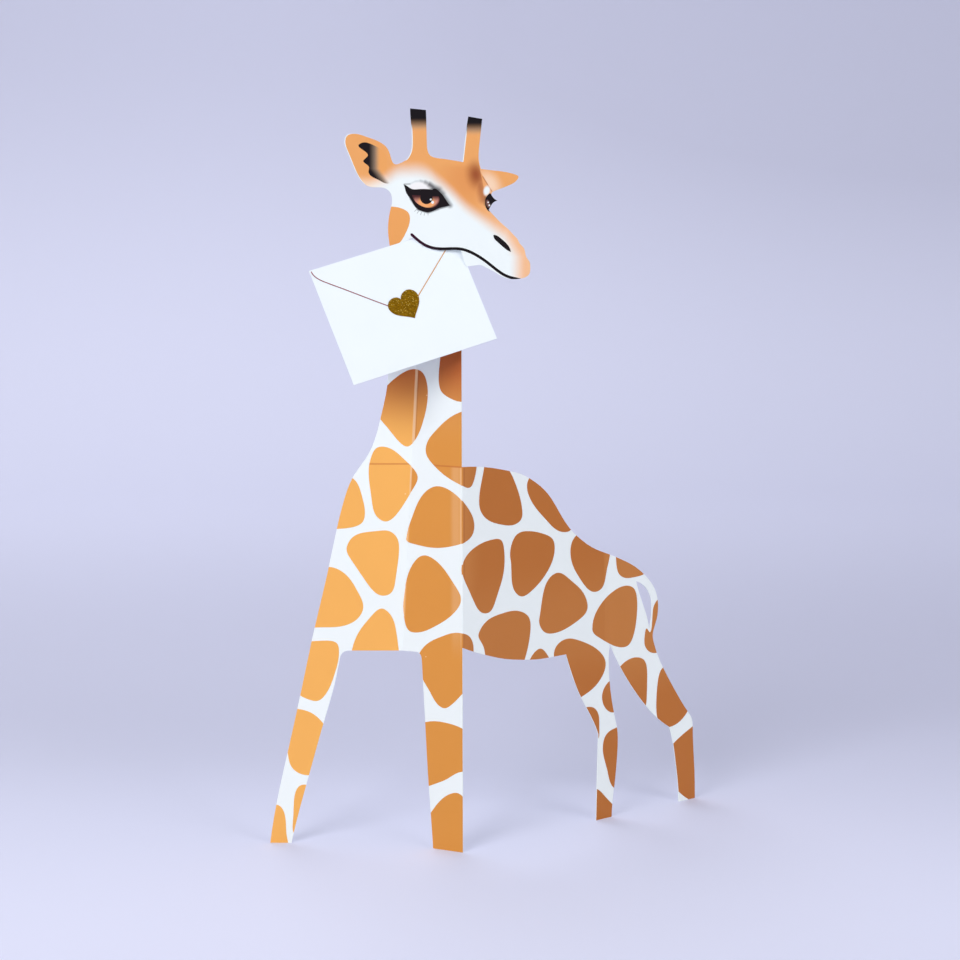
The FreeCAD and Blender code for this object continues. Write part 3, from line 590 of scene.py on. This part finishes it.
def sweep():
    """Outline of the floor, its curve and the wall, as (y, z)."""
    start = STAGE_DEPTH - STAGE_RADIUS
    line = [(STAGE_NEAR, 0.0), (start, 0.0)]
    for step in range(1, STAGE_STEPS + 1):
        angle = math.pi / 2 * step / STAGE_STEPS
        line.append((start + STAGE_RADIUS * math.sin(angle),
                     STAGE_RADIUS - STAGE_RADIUS * math.cos(angle)))
    line.append((STAGE_DEPTH, STAGE_HEIGHT))
    return line


def stage_material():
    """Pale lavender, with a glow of painted light that only the camera, gloss and glass see."""
    graph = Graph(bpy.data.materials.new("pale_stage"))
    graph.shader.inputs["Base Color"].default_value = colour("C8CAE0")
    graph.shader.inputs["Roughness"].default_value = 0.9
    graph.shader.inputs["Specular IOR Level"].default_value = 0.1
    coords = graph.node("ShaderNodeTexCoord")
    split = graph.node("ShaderNodeSeparateXYZ")
    graph.put(split.inputs[0], coords.outputs["Object"])
    across, along, up = split.outputs
    foot = all_of(graph, graph.step(along, 0.45, 1.2),
                  graph.math("MULTIPLY_ADD", graph.step(up, 0.05, 0.5), -0.8, 1.0))
    front = all_of(graph, graph.step(along, 0.3, -0.2), graph.step(along, -0.9, -0.4))
    right = graph.step(across, -0.35, 0.6)
    top = graph.math("MULTIPLY", graph.step(up, 0.08, 0.5),
                     graph.math("MULTIPLY_ADD", right, 0.6, 0.4))
    glow = graph.math("MULTIPLY_ADD", foot, GLOW_FOOT, GLOW_PLAIN)
    glow = graph.math("MULTIPLY_ADD", front, GLOW_FRONT, glow)
    glow = graph.math("MULTIPLY_ADD", right, -GLOW_RIGHT, glow)
    glow = graph.math("MULTIPLY_ADD", top, -GLOW_TOP, glow, clamp=True)

    # The floor under the lamps is bright enough by itself, and the floor beyond them isn't lit
    under_lamps = all_of(graph, graph.step(along, -0.6, -1.4), graph.step(along, -4.6, -3.4))
    glow = graph.math("MULTIPLY", glow, graph.math("MULTIPLY_ADD", under_lamps, -0.75, 1.0))
    glow = graph.math("MULTIPLY_ADD", graph.step(along, -3.0, -4.8), GLOW_FAR, glow)
    graph.shader.inputs["Emission Color"].default_value = colour("E4E8FA")
    graph.put(graph.shader.inputs["Emission Strength"],
              graph.math("MULTIPLY", glow, graph.seen_directly()))
    return graph.owner


stage_mesh = bmesh.new()
rows = []
for y, z in sweep():
    rows.append([stage_mesh.verts.new((x, y, z)) for x in (-STAGE_HALF_WIDTH, STAGE_HALF_WIDTH)])
for near, far in zip(rows, rows[1:]):
    stage_mesh.faces.new((near[0], near[1], far[1], far[0]))
mesh = bpy.data.meshes.new("stage")
stage_mesh.to_mesh(mesh)
stage_mesh.free()
mesh.shade_smooth()
mesh.materials.append(stage_material())
stage = bpy.data.objects.new("stage", mesh)
bpy.context.collection.objects.link(stage)

# Lamps: name, place, what they point at, width in metres, power in watts
LAMPS = [
    ("key", (-1.9, -2.9, 2.0), (0.0, 0.0, 0.1), 2.2, 79.0),
    ("fill", (2.5, -2.3, 1.2), (0.0, 0.0, 0.1), 2.2, 39.0),
    ("back", (-0.6, 1.2, 1.7), (0.0, 0.0, 0.15), 1.6, 12.0),
]
for name, place, target, width, power in LAMPS:
    light = bpy.data.lights.new(name, "AREA")
    light.shape = "DISK"
    light.size = width
    light.energy = power
    lamp = bpy.data.objects.new(name, light)
    lamp.location = place
    lamp.rotation_euler = (Vector(target) - Vector(place)).to_track_quat("-Z", "Y").to_euler()
    bpy.context.collection.objects.link(lamp)

# The room: an even white light, seen as the same pale lavender as the backdrop
room = Graph(bpy.data.worlds.new("room"))
even = room.tree.nodes["Background"]
even.inputs["Color"].default_value = (1.0, 1.0, 1.0, 1.0)
even.inputs["Strength"].default_value = 0.40
backdrop = room.node("ShaderNodeBackground")
backdrop.inputs["Color"].default_value = colour("CBCFE9")
backdrop.inputs["Strength"].default_value = 1.0
choice = room.node("ShaderNodeMixShader")
room.put(choice.inputs[0], room.seen_directly())
room.put(choice.inputs[1], even.outputs[0])
room.put(choice.inputs[2], backdrop.outputs[0])
room.put(room.tree.nodes["World Output"].inputs["Surface"], choice.outputs[0])
bpy.context.scene.world = room.owner

camera_data = bpy.data.cameras.new("camera")
camera_data.sensor_fit = "HORIZONTAL"
camera_data.sensor_width = SENSOR_MM
camera_data.lens = LENS_MM
camera_data.clip_end = 50.0
camera = bpy.data.objects.new("camera", camera_data)
camera.location = CAMERA_PLACE
camera.rotation_euler = (math.radians(90 - CAMERA_TILT_DOWN), 0.0, 0.0)
bpy.context.collection.objects.link(camera)
bpy.context.scene.camera = camera
bpy.context.scene.view_settings.view_transform = "Standard"
